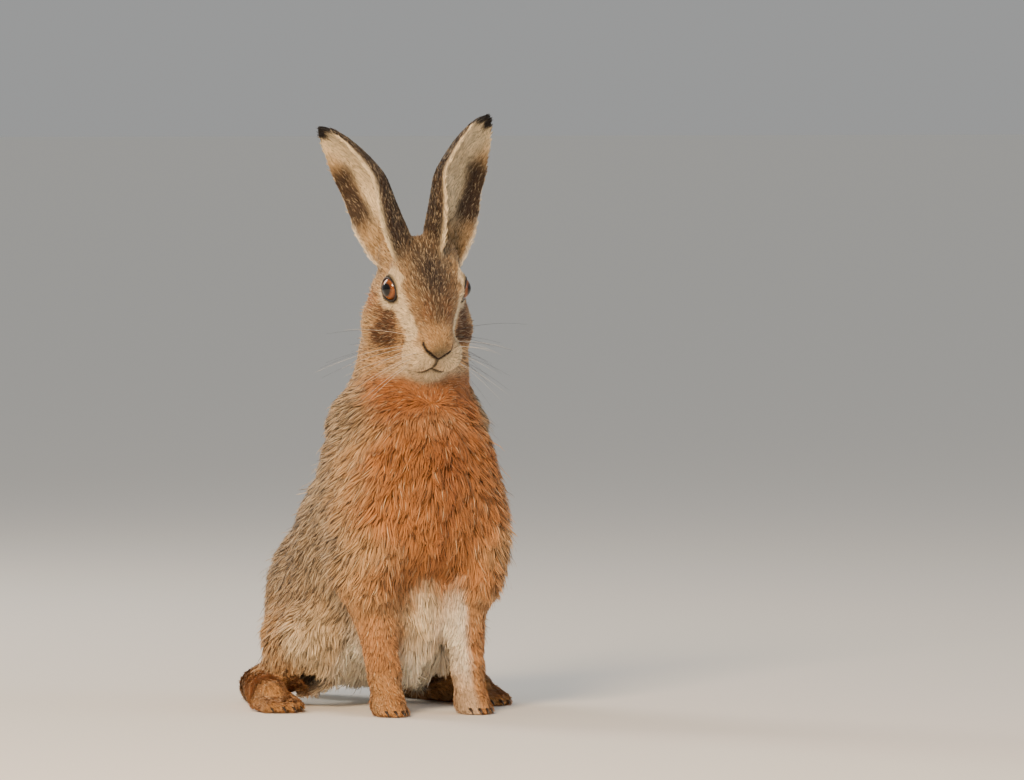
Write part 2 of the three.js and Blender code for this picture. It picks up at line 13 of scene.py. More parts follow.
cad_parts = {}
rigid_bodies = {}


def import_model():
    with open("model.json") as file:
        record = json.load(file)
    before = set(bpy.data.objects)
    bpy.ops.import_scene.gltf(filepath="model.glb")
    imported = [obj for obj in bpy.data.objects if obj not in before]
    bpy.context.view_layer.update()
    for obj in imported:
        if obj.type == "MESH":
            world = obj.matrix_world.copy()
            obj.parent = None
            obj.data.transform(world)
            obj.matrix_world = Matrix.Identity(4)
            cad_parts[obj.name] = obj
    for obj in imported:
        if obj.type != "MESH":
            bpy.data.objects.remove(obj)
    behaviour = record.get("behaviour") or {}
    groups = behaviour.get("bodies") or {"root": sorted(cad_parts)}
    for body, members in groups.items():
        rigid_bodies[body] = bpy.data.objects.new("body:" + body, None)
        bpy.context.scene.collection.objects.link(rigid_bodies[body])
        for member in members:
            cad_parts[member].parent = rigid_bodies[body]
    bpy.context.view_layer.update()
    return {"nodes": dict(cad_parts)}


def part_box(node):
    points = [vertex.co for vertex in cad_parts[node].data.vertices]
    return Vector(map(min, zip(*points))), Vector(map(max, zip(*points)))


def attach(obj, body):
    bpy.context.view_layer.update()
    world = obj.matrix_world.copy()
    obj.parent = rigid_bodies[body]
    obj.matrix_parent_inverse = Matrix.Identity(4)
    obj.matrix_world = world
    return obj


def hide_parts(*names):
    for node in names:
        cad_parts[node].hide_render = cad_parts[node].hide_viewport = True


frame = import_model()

mm = 0.001
randomSource = np.random.default_rng(20)


def linear(hexText):
    channels = np.array([int(hexText[i : i + 2], 16) / 255 for i in (0, 2, 4)])
    return np.where(channels <= 0.04045, channels / 12.92, ((channels + 0.055) / 1.055) ** 2.4)


def fade(start, end, value):
    t = np.clip((value - start) / (end - start), 0, 1)
    return t * t * (3 - 2 * t)


def unit(vectors):
    return vectors / np.maximum(np.linalg.norm(vectors, axis=-1, keepdims=True), 1e-9)


def spot(points, centre, radii):  # 1 at the centre, fading to 0 at about the radii
    return np.exp(-1.6 * (((points - np.array(centre)) / np.array(radii)) ** 2).sum(1))


def towardLine(points, a, b):  # distance of each point from the line between a and b
    a, b = np.array(a, float), np.array(b, float)
    t = np.clip(((points - a) @ (b - a)) / ((b - a) @ (b - a)), 0, 1)
    return np.linalg.norm(points - a - t[:, None] * (b - a), axis=1)


def addNode(tree, kind, settings={}, values={}, links={}):
    node = tree.nodes.new(kind)
    for key, value in settings.items():
        setattr(node, key, value)
    for key, value in values.items():
        node.inputs[key].default_value = value
    for key, source in links.items():
        tree.links.new(source, node.inputs[key])
    return node


def newMaterial(name):
    made = bpy.data.materials.new(name)
    made.use_nodes = True
    made.node_tree.nodes.clear()
    return made, made.node_tree


def place(name, mesh, material):
    piece = bpy.data.objects.new(name, mesh)
    bpy.context.scene.collection.objects.link(piece)
    mesh.materials.clear()
    mesh.materials.append(material)
    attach(piece, "root")
    return piece


def meshFromArrays(name, points, faces):
    # faces is an array of rows, each a face of one width, or a list of such arrays
    blocks = faces if isinstance(faces, list) else [faces]
    mesh = bpy.data.meshes.new(name)
    widths = np.concatenate([np.full(len(block), block.shape[1]) for block in blocks])
    corners = np.concatenate([block.ravel() for block in blocks])
    mesh.vertices.add(len(points))
    mesh.vertices.foreach_set("co", np.asarray(points, np.float32).ravel())
    mesh.loops.add(len(corners))
    mesh.loops.foreach_set("vertex_index", corners.astype(np.int32))
    mesh.polygons.add(len(widths))
    mesh.polygons.foreach_set("loop_start", (np.cumsum(widths) - widths).astype(np.int32))
    mesh.polygons.foreach_set("use_smooth", np.ones(len(widths), bool))
    mesh.update(calc_edges=True)
    return mesh


def setColours(mesh, colours):
    layer = mesh.color_attributes.new("markings", "FLOAT_COLOR", "POINT")
    full = np.ones((len(colours), 4), np.float32)
    full[:, :3] = colours
    layer.data.foreach_set("color", full.ravel())


# How the head and ears are set, as in the solids. Distances are mm in the head's axes: left, nose, up.
pose = {
    "headTurn": -8,  # degrees, towards the hare's right
    "headPitch": 45,  # degrees, the line from eye to nose below level
    "eyesUp": 2,
    "forefeetOff": (3, 2),  # mm across and back from the head's middle to the ground between them
    "noseReach": 64,
    "earLength": 108,
    "earRoot": {"left": (16, -38, 12), "right": (-19, -38, 12)},
    "earLean": {"left": (44, -3, 101), "right": (-57, 32, 97)},  # towards the tip, in the frame's axes
    "earFacing": {"left": 42, "right": -95},  # degrees round from the front
}
sides = {"left": 1, "right": -1}


def middleOf(node):
    low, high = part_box(node)
    return np.array((low + high) / 2) / mm


eyeBoxes = {name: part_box("eye_" + name) for name in sides}
eyePlace = {name: middleOf("eye_" + name) for name in sides}
eyeRadius = (eyeBoxes["left"][1].z - eyeBoxes["left"][0].z) / 2 / mm
turn, pitch = math.radians(pose["headTurn"]), math.radians(pose["headPitch"])
headLeft = np.array([math.cos(turn), math.sin(turn), 0])
headNose = np.array([math.sin(turn) * math.cos(pitch), -math.cos(turn) * math.cos(pitch), -math.sin(pitch)])
headUp = np.array([math.sin(turn) * math.sin(pitch), -math.cos(turn) * math.sin(pitch), math.cos(pitch)])
headMiddle = (eyePlace["left"] + eyePlace["right"]) / 2 - pose["eyesUp"] * headUp
ground = np.array([headMiddle[0] + pose["forefeetOff"][0], headMiddle[1] + pose["forefeetOff"][1], 0])


def onHead(u, v, w):
    return headMiddle + u * headLeft + v * headNose + w * headUp


def headCoordinates(points):
    away = points - headMiddle
    return np.stack([away @ headLeft, away @ headNose, away @ headUp], 1)


eyeAxis = {"out": 0.925, "nose": 0.34, "up": 0.17}  # where an eye looks
# The oval between the lids: its half length and half height in eyeball radii, and its dip in front.
lidOpening = {"along": 0.87, "over": 0.78, "dip": 0.2}


def eyeFrame(name):
    side = sides[name]
    axis = unit(side * eyeAxis["out"] * headLeft + eyeAxis["nose"] * headNose + eyeAxis["up"] * headUp)
    along = headNose - lidOpening["dip"] * headUp
    along = unit(along - (along @ axis) * axis)
    return axis, along, np.cross(axis, along)


def earGirth(t):  # all the way round the sheet, t running from the ear's root to its tip
    swell = 66 + 22 * np.sin(math.pi * np.clip((t + 0.1) / 1.05, 0, 1))
    narrow = 1 - (np.clip(t - 0.42, 0, 0.58) / 0.585) ** 2.2
    return swell * np.sqrt(np.maximum(narrow, 0.004))


def earCurl(t):  # half of the angle that the sheet is rolled through
    return np.radians(116 - 46 * np.minimum(1, t / 0.5) - 16 * t)


def earFrame(name):
    root = onHead(*pose["earRoot"][name])
    along = unit(np.array(pose["earLean"][name], float))
    facing = math.radians(pose["earFacing"][name])
    opening = np.array([math.sin(facing), -math.cos(facing), 0])
    opening = unit(opening - (opening @ along) * along)
    return root, along, opening, np.cross(along, opening)


# The skin.
skin = {
    "voxel": 1.4,  # mm
    "inflate": 0.4,  # mm, closes the thin cuts between the solids
    "triangles": 80000,
    "relax": (0.5, 2),  # strength and rounds, over the remesh's steps
    "settle": 24,  # rounds of smoothing between the regions
    "normalRounds": 6,
    "depthRounds": 4,
    "flowRounds": 10,
    "evenOut": (0.35, 0.65),  # a point's own place and its neighbours'
    "lowest": 0.4,  # mm above the floor
}
# Each region's coat: length, width and depth over the skin in mm, how thickly the tufts stand against
# the other regions', and how far they gather into locks. A single hair is too fine to show, so each
# tuft stands for a wisp of hairs and is as wide as one.
regions = {
    "head": {"length": 7.0, "width": 0.55, "depth": 2.2, "density": 2.4, "gather": 0.35},
    "ear": {"length": 5.0, "width": 0.5, "depth": 0.7, "density": 1.5, "gather": 0.3},
    "neck": {"length": 16, "width": 0.85, "depth": 6.5, "density": 1.15, "gather": 0.55},
    "torso": {"length": 21, "width": 1.0, "depth": 8.5, "density": 0.8, "gather": 0.6},
    "tail": {"length": 17, "width": 0.9, "depth": 5, "density": 0.9, "gather": 0.5},
    "foreleg": {"length": 9, "width": 0.7, "depth": 3.2, "density": 1.4, "gather": 0.45},
    "forepaw": {"length": 5, "width": 0.55, "depth": 1.4, "density": 1.6, "gather": 0.3},
    "haunch": {"length": 15, "width": 0.85, "depth": 6, "density": 1.1, "gather": 0.5},
    "hindfoot": {"length": 6, "width": 0.6, "depth": 1.6, "density": 1.4, "gather": 0.35},
}
regionNames = list(regions)


def regionOf(node):
    return regionNames.index(node.split("_")[0])


def solidTriangles(node):
    # the node's points, merged, in mm, pushed out along their normals
    work = bmesh.new()
    work.from_mesh(frame["nodes"][node].data)
    bmesh.ops.remove_doubles(work, verts=work.verts, dist=2e-5)
    bmesh.ops.triangulate(work, faces=work.faces)
    work.normal_update()
    points = np.array([v.co + v.normal * skin["inflate"] * mm for v in work.verts])
    faces = np.array([[v.index for v in f.verts] for f in work.faces])
    work.free()
    return points, faces


fleshNodes = sorted(n for n in frame["nodes"] if not n.startswith("eye_"))
allPoints, allFaces, faceRegion = [], [], []
for node in fleshNodes:
    nodePoints, nodeFaces = solidTriangles(node)
    allFaces.append(nodeFaces + sum(len(p) for p in allPoints))
    allPoints.append(nodePoints)
    faceRegion += [regionOf(node)] * len(nodeFaces)
allPoints, allFaces = np.concatenate(allPoints), np.concatenate(allFaces)
nearSolid = BVHTree.FromPolygons(allPoints.tolist(), allFaces.tolist())
draft = bpy.data.objects.new("draft", meshFromArrays("draft", allPoints, allFaces))
bpy.context.scene.collection.objects.link(draft)
remesh = draft.modifiers.new("remesh", "REMESH")
remesh.mode, remesh.voxel_size = "VOXEL", skin["voxel"] * mm
relax = draft.modifiers.new("relax", "SMOOTH")
relax.factor, relax.iterations = skin["relax"]
bpy.context.view_layer.update()
whole = draft.evaluated_get(bpy.context.evaluated_depsgraph_get())
fineCount = len(whole.data.polygons) * 2
thinner = draft.modifiers.new("thinner", "DECIMATE")
thinner.ratio = min(1, skin["triangles"] / fineCount)
thinner.use_collapse_triangulate = True
bpy.context.view_layer.update()
skinMesh = bpy.data.meshes.new_from_object(draft.evaluated_get(bpy.context.evaluated_depsgraph_get()))
bpy.data.objects.remove(draft)
print("skin:", fineCount, "triangles thinned to", len(skinMesh.polygons))

pointCount = len(skinMesh.vertices)
skinPoints = np.empty(pointCount * 3)
skinMesh.vertices.foreach_get("co", skinPoints)
skinPoints = skinPoints.reshape(-1, 3) / mm
skinEdges = np.empty(len(skinMesh.edges) * 2, int)
skinMesh.edges.foreach_get("vertices", skinEdges)
skinEdges = skinEdges.reshape(-1, 2)
skinFaces = np.array([p.vertices[:] for p in skinMesh.polygons])
neighbours = np.bincount(skinEdges.ravel(), minlength=pointCount)[:, None]


def settled(values, rounds):
    # each point takes on half of its neighbours' mean, round after round
    for _ in range(rounds):
        total = np.stack(
            [
                np.bincount(skinEdges[:, 0], values[skinEdges[:, 1], c], pointCount)
                + np.bincount(skinEdges[:, 1], values[skinEdges[:, 0], c], pointCount)
                for c in range(values.shape[1])
            ],
            1,
        )
        values = 0.5 * values + 0.5 * total / np.maximum(neighbours, 1)
    return values


def pointNormals(points):
    a, b, c = (points[skinFaces[:, i]] for i in range(3))
    normals = np.cross(b - a, c - a)
    total = np.zeros_like(points)
    for i in range(3):
        for axis in range(3):
            total[:, axis] += np.bincount(skinFaces[:, i], normals[:, axis], pointCount)
    return unit(total)


weights = np.zeros((pointCount, len(regionNames)))
for i, point in enumerate(skinPoints):
    weights[i, faceRegion[nearSolid.find_nearest(Vector(point * mm))[2]]] = 1
weights = settled(weights, skin["settle"])


def eyeOval(points, name):
    # 1 on the rim of the lids and more outside it; large behind the eyeball
    axis, along, over = eyeFrame(name)
    away = points - eyePlace[name]
    halfLong, halfHigh = lidOpening["along"] * eyeRadius, lidOpening["over"] * eyeRadius
    oval = np.hypot(away @ along / halfLong, away @ over / halfHigh)
    return np.where(away @ axis > 0, oval, 9)


def byRegion(key, mix):
    return mix @ np.array([regions[r][key] for r in regionNames], float)


# The face's lines as seen from before the nose: across from the midline, and up, alike on both sides.
# Each ends at a depth, which is measured from the eyes towards the nose.
nostrils = {"line": [(14, -3.5), (6, -9.5), (0, -14)], "end": 53}
mouth = {"line": [(0, -14), (0, -31), (7.5, -35.5), (23, -38)], "end": 34}


def fromLine(points, feature):
    local = headCoordinates(points)
    seen = np.stack([np.abs(local[:, 0]), local[:, 2]], 1)
    legs = zip(feature["line"], feature["line"][1:])
    nearest = np.min([towardLine(seen, a, b) for a, b in legs], axis=0)
    return np.maximum(0, feature["end"] - local[:, 1]) + nearest


# Shares of the coat's length: what is clipped off it, and what is added on the cheeks.
clipped = {"muzzle": 0.45, "nose": 0.75, "lines": 0.7}
addedOnCheek = 0.7
trimRange = (0.2, 1.4)  # how far the trim may thin or deepen the coat


def faceTrim(points, mix):
    # how much of its full length the coat has: short on the muzzle, nose and round the eyes
    local = headCoordinates(points)
    onFace = mix[:, regionNames.index("head")]
    muzzle = fade(16, 46, local[:, 1]) * onFace
    cheek = fade(8, -20, local[:, 1]) * fade(-8, -22, local[:, 2]) * onFace
    nose = spot(local, (0, pose["noseReach"], -8), (13, 12, 12)) * onFace
    around = np.minimum(eyeOval(points, "left"), eyeOval(points, "right"))
    nearLine = fade(6, 1.5, np.minimum(fromLine(points, nostrils), fromLine(points, mouth))) * onFace
    trim = (1 - clipped["muzzle"] * muzzle) * (1 + addedOnCheek * cheek)
    trim = trim * (1 - clipped["nose"] * nose) * (1 - clipped["lines"] * nearLine)
    return trim * (0.22 + 0.78 * fade(1.0, 2.4, around))


depth = byRegion("depth", weights) * np.clip(faceTrim(skinPoints, weights), *trimRange)
outwards = unit(settled(pointNormals(skinPoints), skin["normalRounds"]))
skinPoints = skinPoints - outwards * settled(depth[:, None], skin["depthRounds"])
skinPoints = skin["evenOut"][0] * skinPoints + skin["evenOut"][1] * settled(skinPoints, 1)
skinPoints[:, 2] = np.maximum(skinPoints[:, 2], skin["lowest"])
skinNormals = pointNormals(skinPoints)
skinMesh.vertices.foreach_set("co", (skinPoints * mm).ravel())
skinMesh.polygons.foreach_set("use_smooth", np.ones(len(skinMesh.polygons), bool))
skinMesh.name = "skin"
skinMesh.update()


# The lie of the coat.
def lieOfCoat(points, mix):
    body = points - ground
    local = headCoordinates(points)
    parts = []

    def part(name, direction):
        parts.append(mix[:, [regionNames.index(name)]] * unit(direction))

    still = np.zeros(len(points))
    outward = np.sign(body[:, 0]) * fade(4, 30, np.abs(body[:, 0]))
    front = fade(30, -30, body[:, 1] - 0.25 * (body[:, 2] - 180))
    backward = np.stack([local[:, 0] * 0.012, -1 + still, -0.25 + 0.012 * local[:, 2]], 1)
    part("head", backward @ np.stack([headLeft, headNose, headUp]))
    part("neck", np.stack([0.15 * outward, 0.55 - 0.75 * front, -1 + still], 1))
    part("torso", np.stack([0.28 * outward * front, 0.75 - 0.85 * front, -0.8 - 0.3 * front], 1))
    part("haunch", np.stack([0.1 * outward, 0.25 + still, -1 + still], 1))
    part("tail", np.stack([still, 1 + still, -0.1 + still], 1))
    part("foreleg", np.stack([still, 0.12 + still, -1 + still], 1))
    part("forepaw", np.stack([still, -0.8 + still, -0.6 + still], 1))
    part("hindfoot", np.stack([0.1 * outward, -1 + still, -0.25 + still], 1))
    ears = np.zeros_like(points)
    for name in sides:
        along = earFrame(name)[1]
        own = fade(-4, 4, sides[name] * local[:, 0])[:, None]
        ears += own * along
    part("ear", ears + 1e-6)
    flow = sum(parts)
    for name in sides:  # the coat turns away from the lids on every side
        axis, along, over = eyeFrame(name)
        away = points - eyePlace[name]
        near = fade(2.2, 1.1, eyeOval(points, name))[:, None]
        flow = flow * (1 - 0.7 * near) + 0.7 * near * unit(away - (away @ axis)[:, None] * axis)
    return flow


flow = lieOfCoat(skinPoints, weights)
flow = settled(unit(flow), skin["flowRounds"])
flow = unit(flow - (flow * skinNormals).sum(1, keepdims=True) * skinNormals)

# The markings.
# Fur colours of a brown hare in its winter coat, as sRGB hex values.
furColours = {
    "rust": "B4733A",
    "deepRust": "8A5026",
    "tan": "C69C6A",
    "buff": "B2936A",
    "cream": "E8D3AC",
    "white": "F2E6CF",
    "umber": "4E3A28",
    "black": "1D1612",
    "ash": "857868",
    "paw": "C4925A",
    "nose": "7A6A50",
}
fur = {name: linear(value) for name, value in furColours.items()}
# Soft patches of the face, each its centre and radii in the head's axes, how strong, colour, ticking.
facePatches = {
    "browAndCheek": [
        ((0, 6, 12), (21, 48, 26), 1.3, "umber", 0.55),
        ((0, -6, 16), (22, 38, 20), 0.7, "black", 0.4),
        ((0, 30, 8), (13, 20, 12), 0.7, "umber", 0.4),
        ((9, -22, 18), (10, 16, 14), 0.8, "black", 0.7),
        ((7, 34, 8), (5, 14, 9), 0.5, "deepRust", 0.5),
        ((38, -2, -34), (20, 24, 18), 0.9, "buff", 0.45),
        ((36, -6, -20), (10, 12, 10), 0.8, "deepRust", 0.5),
    ],
    "muzzle": [
        ((22, 42, -24), (9, 12, 12), 0.6, "tan", 0.4),
        ((0, 40, 8), (9, 20, 9), 0.8, "umber", 0.5),
        ((0, 52, 4), (12, 10, 9), 0.7, "tan", 0.3),
    ],
    "chinAndNose": [
        ((0, 46, -44), (17, 14, 8), 1.4, "cream", 0.05),
        ((0, pose["noseReach"], -6), (11, 9, 9), 1.2, "nose", 0.1),
    ],
}


def markings(points, normals, mix):
    # the coat's colour, and the share of its tufts that are ticked
    local = headCoordinates(points)
    body = points - ground
    mirrored = np.abs(local) * [1, 0, 0] + local * [0, 1, 1]
    share = {name: mix[:, i] for i, name in enumerate(regionNames)}
    colour = np.tile(0.65 * fur["buff"] + 0.35 * fur["ash"], (len(points), 1))
    ticking = np.full(len(points), 0.75)

    def paint(mask, name, tick):
        nonlocal colour, ticking
        mask = np.clip(mask, 0, 1)
        colour = colour * (1 - mask[:, None]) + mask[:, None] * fur[name]
        ticking = ticking * (1 - mask) + mask * tick

    # trunk: rust in front, ticked at the sides and back, cream and white below
    trunk = np.clip(share["torso"] + share["neck"] + share["foreleg"] + share["forepaw"], 0, 1)
    trunkAxis = 45  # mm behind the forefeet
    bearing = np.degrees(np.arctan2(body[:, 0], -(body[:, 1] - trunkAxis)))  # round from the front
    wave = 7 * np.sin(body[:, 2] / 17) + 5 * np.sin(body[:, 2] / 7.3 + 1)
    inFront = fade(82, 50, np.abs(bearing) + wave) * fade(120, 40, body[:, 1]) * trunk
    paint(inFront, "tan", 0.4)
    paint(inFront * fade(58, 26, np.abs(bearing) + wave) * 0.9, "rust", 0.16)
    paint(fade(30, 70, body[:, 2] - 190) * fade(75, 45, np.abs(bearing) + wave) * trunk, "rust", 0.12)
    paint(spot(body, (2, -24, 215), (26, 60, 50)) * trunk * 0.7, "deepRust", 0.12)
    # the chest's parting: a deep rust line for its darker hair and painted shade in its cleft
    partingHairAndShade = np.exp(-(((body[:, 0] - 2 * np.sin(body[:, 2] / 9)) / 5) ** 2)) * fade(110, 130, body[:, 2])
    paint(partingHairAndShade * fade(215, 195, body[:, 2]) * inFront * 0.55, "deepRust", 0.2)
    lower = fade(128, 96, body[:, 2] + 0.9 * np.abs(body[:, 0])) * trunk
    paint(lower * fade(34, 20, np.abs(body[:, 0])), "cream", 0.08)
    paint(fade(75, 40, body[:, 2]) * share["torso"], "white", 0.05)
    paint(fade(0.2, 0.7, -normals[:, 2]) * share["torso"] * fade(110, 80, body[:, 2]), "white", 0.05)
    # haunches: ticked above, tan below, cream in front
    paint(share["haunch"] * fade(120, 60, body[:, 2]) * 0.8, "tan", 0.4)
    paint(share["haunch"] * fade(100, 76, body[:, 1]) * fade(100, 60, body[:, 2]) * 0.8, "cream", 0.25)
    # legs and feet
    paint(share["foreleg"] * 0.85, "tan", 0.15)
    paint(share["foreleg"] * (0.35 + 0.3 * fade(90, 50, body[:, 2])), "rust", 0.15)
    inner = fade(2, -5, np.sign(body[:, 0]) * body[:, 0] - 35)
    paint((share["foreleg"] + share["forepaw"]) * inner * (body[:, 0] > 0) * 0.95, "white", 0.05)
    paint(share["forepaw"] * 0.55, "paw", 0.08)
    paint(share["hindfoot"], "paw", 0.12)
    paint(share["hindfoot"] * fade(140, 200, body[:, 1]) * 0.6, "umber", 0.3)
    # tail: black above, white below
    paint(share["tail"], "white", 0)
    paint(share["tail"] * fade(0.0, 0.45, normals[:, 2]), "black", 0)
    # head
    head = share["head"]

    def paintFace(group):
        for centre, radii, strength, name, tick in facePatches[group]:
            paint(spot(mirrored, centre, radii) * head * strength, name, tick)

    paint(head, "tan", 0.6)
    paint(head * fade(20, -10, local[:, 1]) * 0.6, "buff", 0.75)
    paintFace("browAndCheek")
    underEye = towardLine(mirrored * [0, 1, 1], (0, 11, -9), (0, 22, -29))
    patch = fade(11, 2, underEye - 1.5 * np.sin(0.4 * local[:, 1])) * fade(17, 24, mirrored[:, 0]) * head
    paint(patch * 0.9, "deepRust", 0.5)
    paint(patch * 0.75, "umber", 0.5)
    paint(fade(-14, -30, local[:, 1]) * fade(12, 2, local[:, 2]) * head * 0.6, "umber", 0.6)
    stripe = towardLine(mirrored, (22, 14, 3), (16, 38, -9))
    paint(fade(10.5, 6, stripe) * head * 0.95, "cream", 0.1)
    around = np.minimum(eyeOval(points, "left"), eyeOval(points, "right"))
    paint(fade(2.0, 1.5, around) * head * 0.9, "cream", 0.1)
    pads = fade(30, 46, local[:, 1]) * fade(-4, -14, local[:, 2])
    paint(pads * head * 0.85, "cream", 0.3)
    paintFace("muzzle")
    throat = fade(270, 258, body[:, 2]) * fade(-38, -46, local[:, 2]) * head
    throat += fade(225, 245, body[:, 2]) * fade(70, 40, np.abs(bearing) + wave) * share["neck"]
    paint(throat, "rust", 0.15)
    # painted shade: deep rust darkens the throat and the neck's front under the chin, over their rust
    paint(throat * 0.4, "deepRust", 0.3)
    paintFace("chinAndNose")
    paint(fade(1.35, 1.1, around) * head, "black", 0)
    paint(fade(2.3, 1.1, fromLine(points, nostrils)) * head, "black", 0)
    paint(fade(1.9, 0.9, fromLine(points, mouth)) * head * 0.9, "black", 0)
    # ears
    for name, side in sides.items():
        root, along, opening, across = earFrame(name)
        away = points - root
        t = away @ along / pose["earLength"]
        ear = share["ear"] * (side * local[:, 0] > 0)
        centre = away - (away @ along)[:, None] * along - 6 * opening
        inside = fade(0.1, -0.1, (normals * unit(centre)).sum(1))
        bend = earCurl(t)
        radius = earGirth(t) / (2 * bend)
        turned = np.arctan2(away @ across, 0.5 * radius - away @ opening) / bend
        edge = -side * turned  # 1 at the ear's front edge, -1 at its back edge
        streak = np.sin(9 * edge + 14 * t)
        paint(ear, "umber", 0.6)
        paint(ear * (1 - inside) * fade(-0.1, 0.5, edge) * (0.45 + 0.15 * streak), "black", 0.6)
        paint(ear * (1 - inside) * fade(-0.05, -0.5, edge) * fade(0.9, 0.7, t), "cream", 0.25)
        paint(ear * inside, "buff", 0.35)
        paint(ear * inside * fade(0.55, 0.75, t + 0.15 * edge), "cream", 0.08)
        paint(ear * inside * fade(-0.75, -0.45, edge) * fade(0.1, 0.3, t) * 0.9, "cream", 0.15)
        wedge = fade(-0.42, -0.68, edge + 0.05 * streak) * fade(0.74, 0.6, t) * fade(0.14, 0.3, t)
        paint(ear * inside * wedge, "umber", 0.4)
        paint(ear * inside * wedge * 0.35, "black", 0.3)
        paint(ear * fade(0.8, 0.92, edge) * fade(0.97, 0.85, t), "cream", 0.05)
        paint(ear * fade(-0.84, -0.95, edge) * fade(0.34, 0.2, t), "white", 0.05)
        paint(ear * fade(0.88, 0.94, t + 0.02 * streak), "black", 0)
    return colour, np.clip(ticking, 0, 1)


skinShade = 0.75  # of the coat's own colour: painted shade, as under fur
setColours(skinMesh, markings(skinPoints, skinNormals, weights)[0] * skinShade)

# An unwrap of the skin's own shape, which the coat's tufts share.
skinPiece = bpy.data.objects.new("skin", skinMesh)
bpy.context.scene.collection.objects.link(skinPiece)
while skinMesh.uv_layers:
    skinMesh.uv_layers.remove(skinMesh.uv_layers[0])
skinMesh.uv_layers.new(name="OFBake")
for other in bpy.context.view_layer.objects:
    other.select_set(False)
skinPiece.select_set(True)
bpy.context.view_layer.objects.active = skinPiece
bpy.ops.object.mode_set(mode="EDIT")
bpy.ops.mesh.select_all(action="SELECT")
bpy.ops.uv.smart_project(angle_limit=math.radians(66), island_margin=0.002)
bpy.ops.object.mode_set(mode="OBJECT")
skinMesh = skinPiece.data
cornerMaps = np.empty(len(skinMesh.loops) * 2)
skinMesh.uv_layers["OFBake"].data.foreach_get("uv", cornerMaps)
cornerMaps = cornerMaps.reshape(-1, 3, 2)
skinFaces = np.array([p.vertices[:] for p in skinMesh.polygons])
print("skin unwrapped")


# Materials.
def furMaterial():
    # Hare's guard hair and down: matt keratin, with a faint sheen where it turns from the light.
    made, tree = newMaterial("hareFur")
    mark = addNode(tree, "ShaderNodeAttribute", {"attribute_name": "markings"})
    spread = addNode(tree, "ShaderNodeTexCoord")
    patchSize = 6 * mm  # painted light and shade in patches, as locks catch the light
    patchNoise = addNode(
        tree,
        "ShaderNodeTexNoise",
        {},
        {"Scale": 1 / patchSize, "Detail": 4.0},
        {"Vector": spread.outputs["Object"]},
    )
    level = addNode(
        tree, "ShaderNodeMapRange", {}, {"To Min": 0.78, "To Max": 1.2}, {"Value": patchNoise.outputs["Fac"]}
    )
    toned = addNode(
        tree,
        "ShaderNodeHueSaturation",
        {},
        {},
        {"Color": mark.outputs["Color"], "Value": level.outputs["Result"]},
    )
    shade = addNode(
        tree,
        "ShaderNodeBsdfPrincipled",
        {},
        {"Roughness": 0.6, "Specular IOR Level": 0.28, "IOR": 1.55, "Sheen Weight": 0.12},
        {"Base Color": toned.outputs["Color"]},
    )
    addNode(tree, "ShaderNodeOutputMaterial", {}, {}, {"Surface": shade.outputs["BSDF"]})
    return made


def skinMaterial():
    # Skin under short fur: the coat's own markings darkened as painted shade, broken by a fine nap. Real down
    # is too fine to show, so the nap is drawn 0.9 mm wide.
    made, tree = newMaterial("hareSkin")
    mark = addNode(tree, "ShaderNodeAttribute", {"attribute_name": "markings"})
    spread = addNode(tree, "ShaderNodeTexCoord")
    napSize = 0.9 * mm
    nap = addNode(
        tree,
        "ShaderNodeTexNoise",
        {},
        {"Scale": 1 / napSize, "Detail": 5.0},
        {"Vector": spread.outputs["Object"]},
    )
    bump = addNode(
        tree, "ShaderNodeBump", {}, {"Strength": 0.5, "Distance": 0.4 * mm}, {"Height": nap.outputs["Fac"]}
    )
    level = addNode(
        tree, "ShaderNodeMapRange", {}, {"To Min": 0.55, "To Max": 1.2}, {"Value": nap.outputs["Fac"]}
    )
    toned = addNode(
        tree,
        "ShaderNodeHueSaturation",
        {},
        {},
        {"Color": mark.outputs["Color"], "Value": level.outputs["Result"]},
    )
    shade = addNode(
        tree,
        "ShaderNodeBsdfPrincipled",
        {},
        {"Roughness": 0.75, "Specular IOR Level": 0.2, "IOR": 1.45},
        {"Base Color": toned.outputs["Color"], "Normal": bump.outputs["Normal"]},
    )
    addNode(tree, "ShaderNodeOutputMaterial", {}, {}, {"Surface": shade.outputs["BSDF"]})
    return made


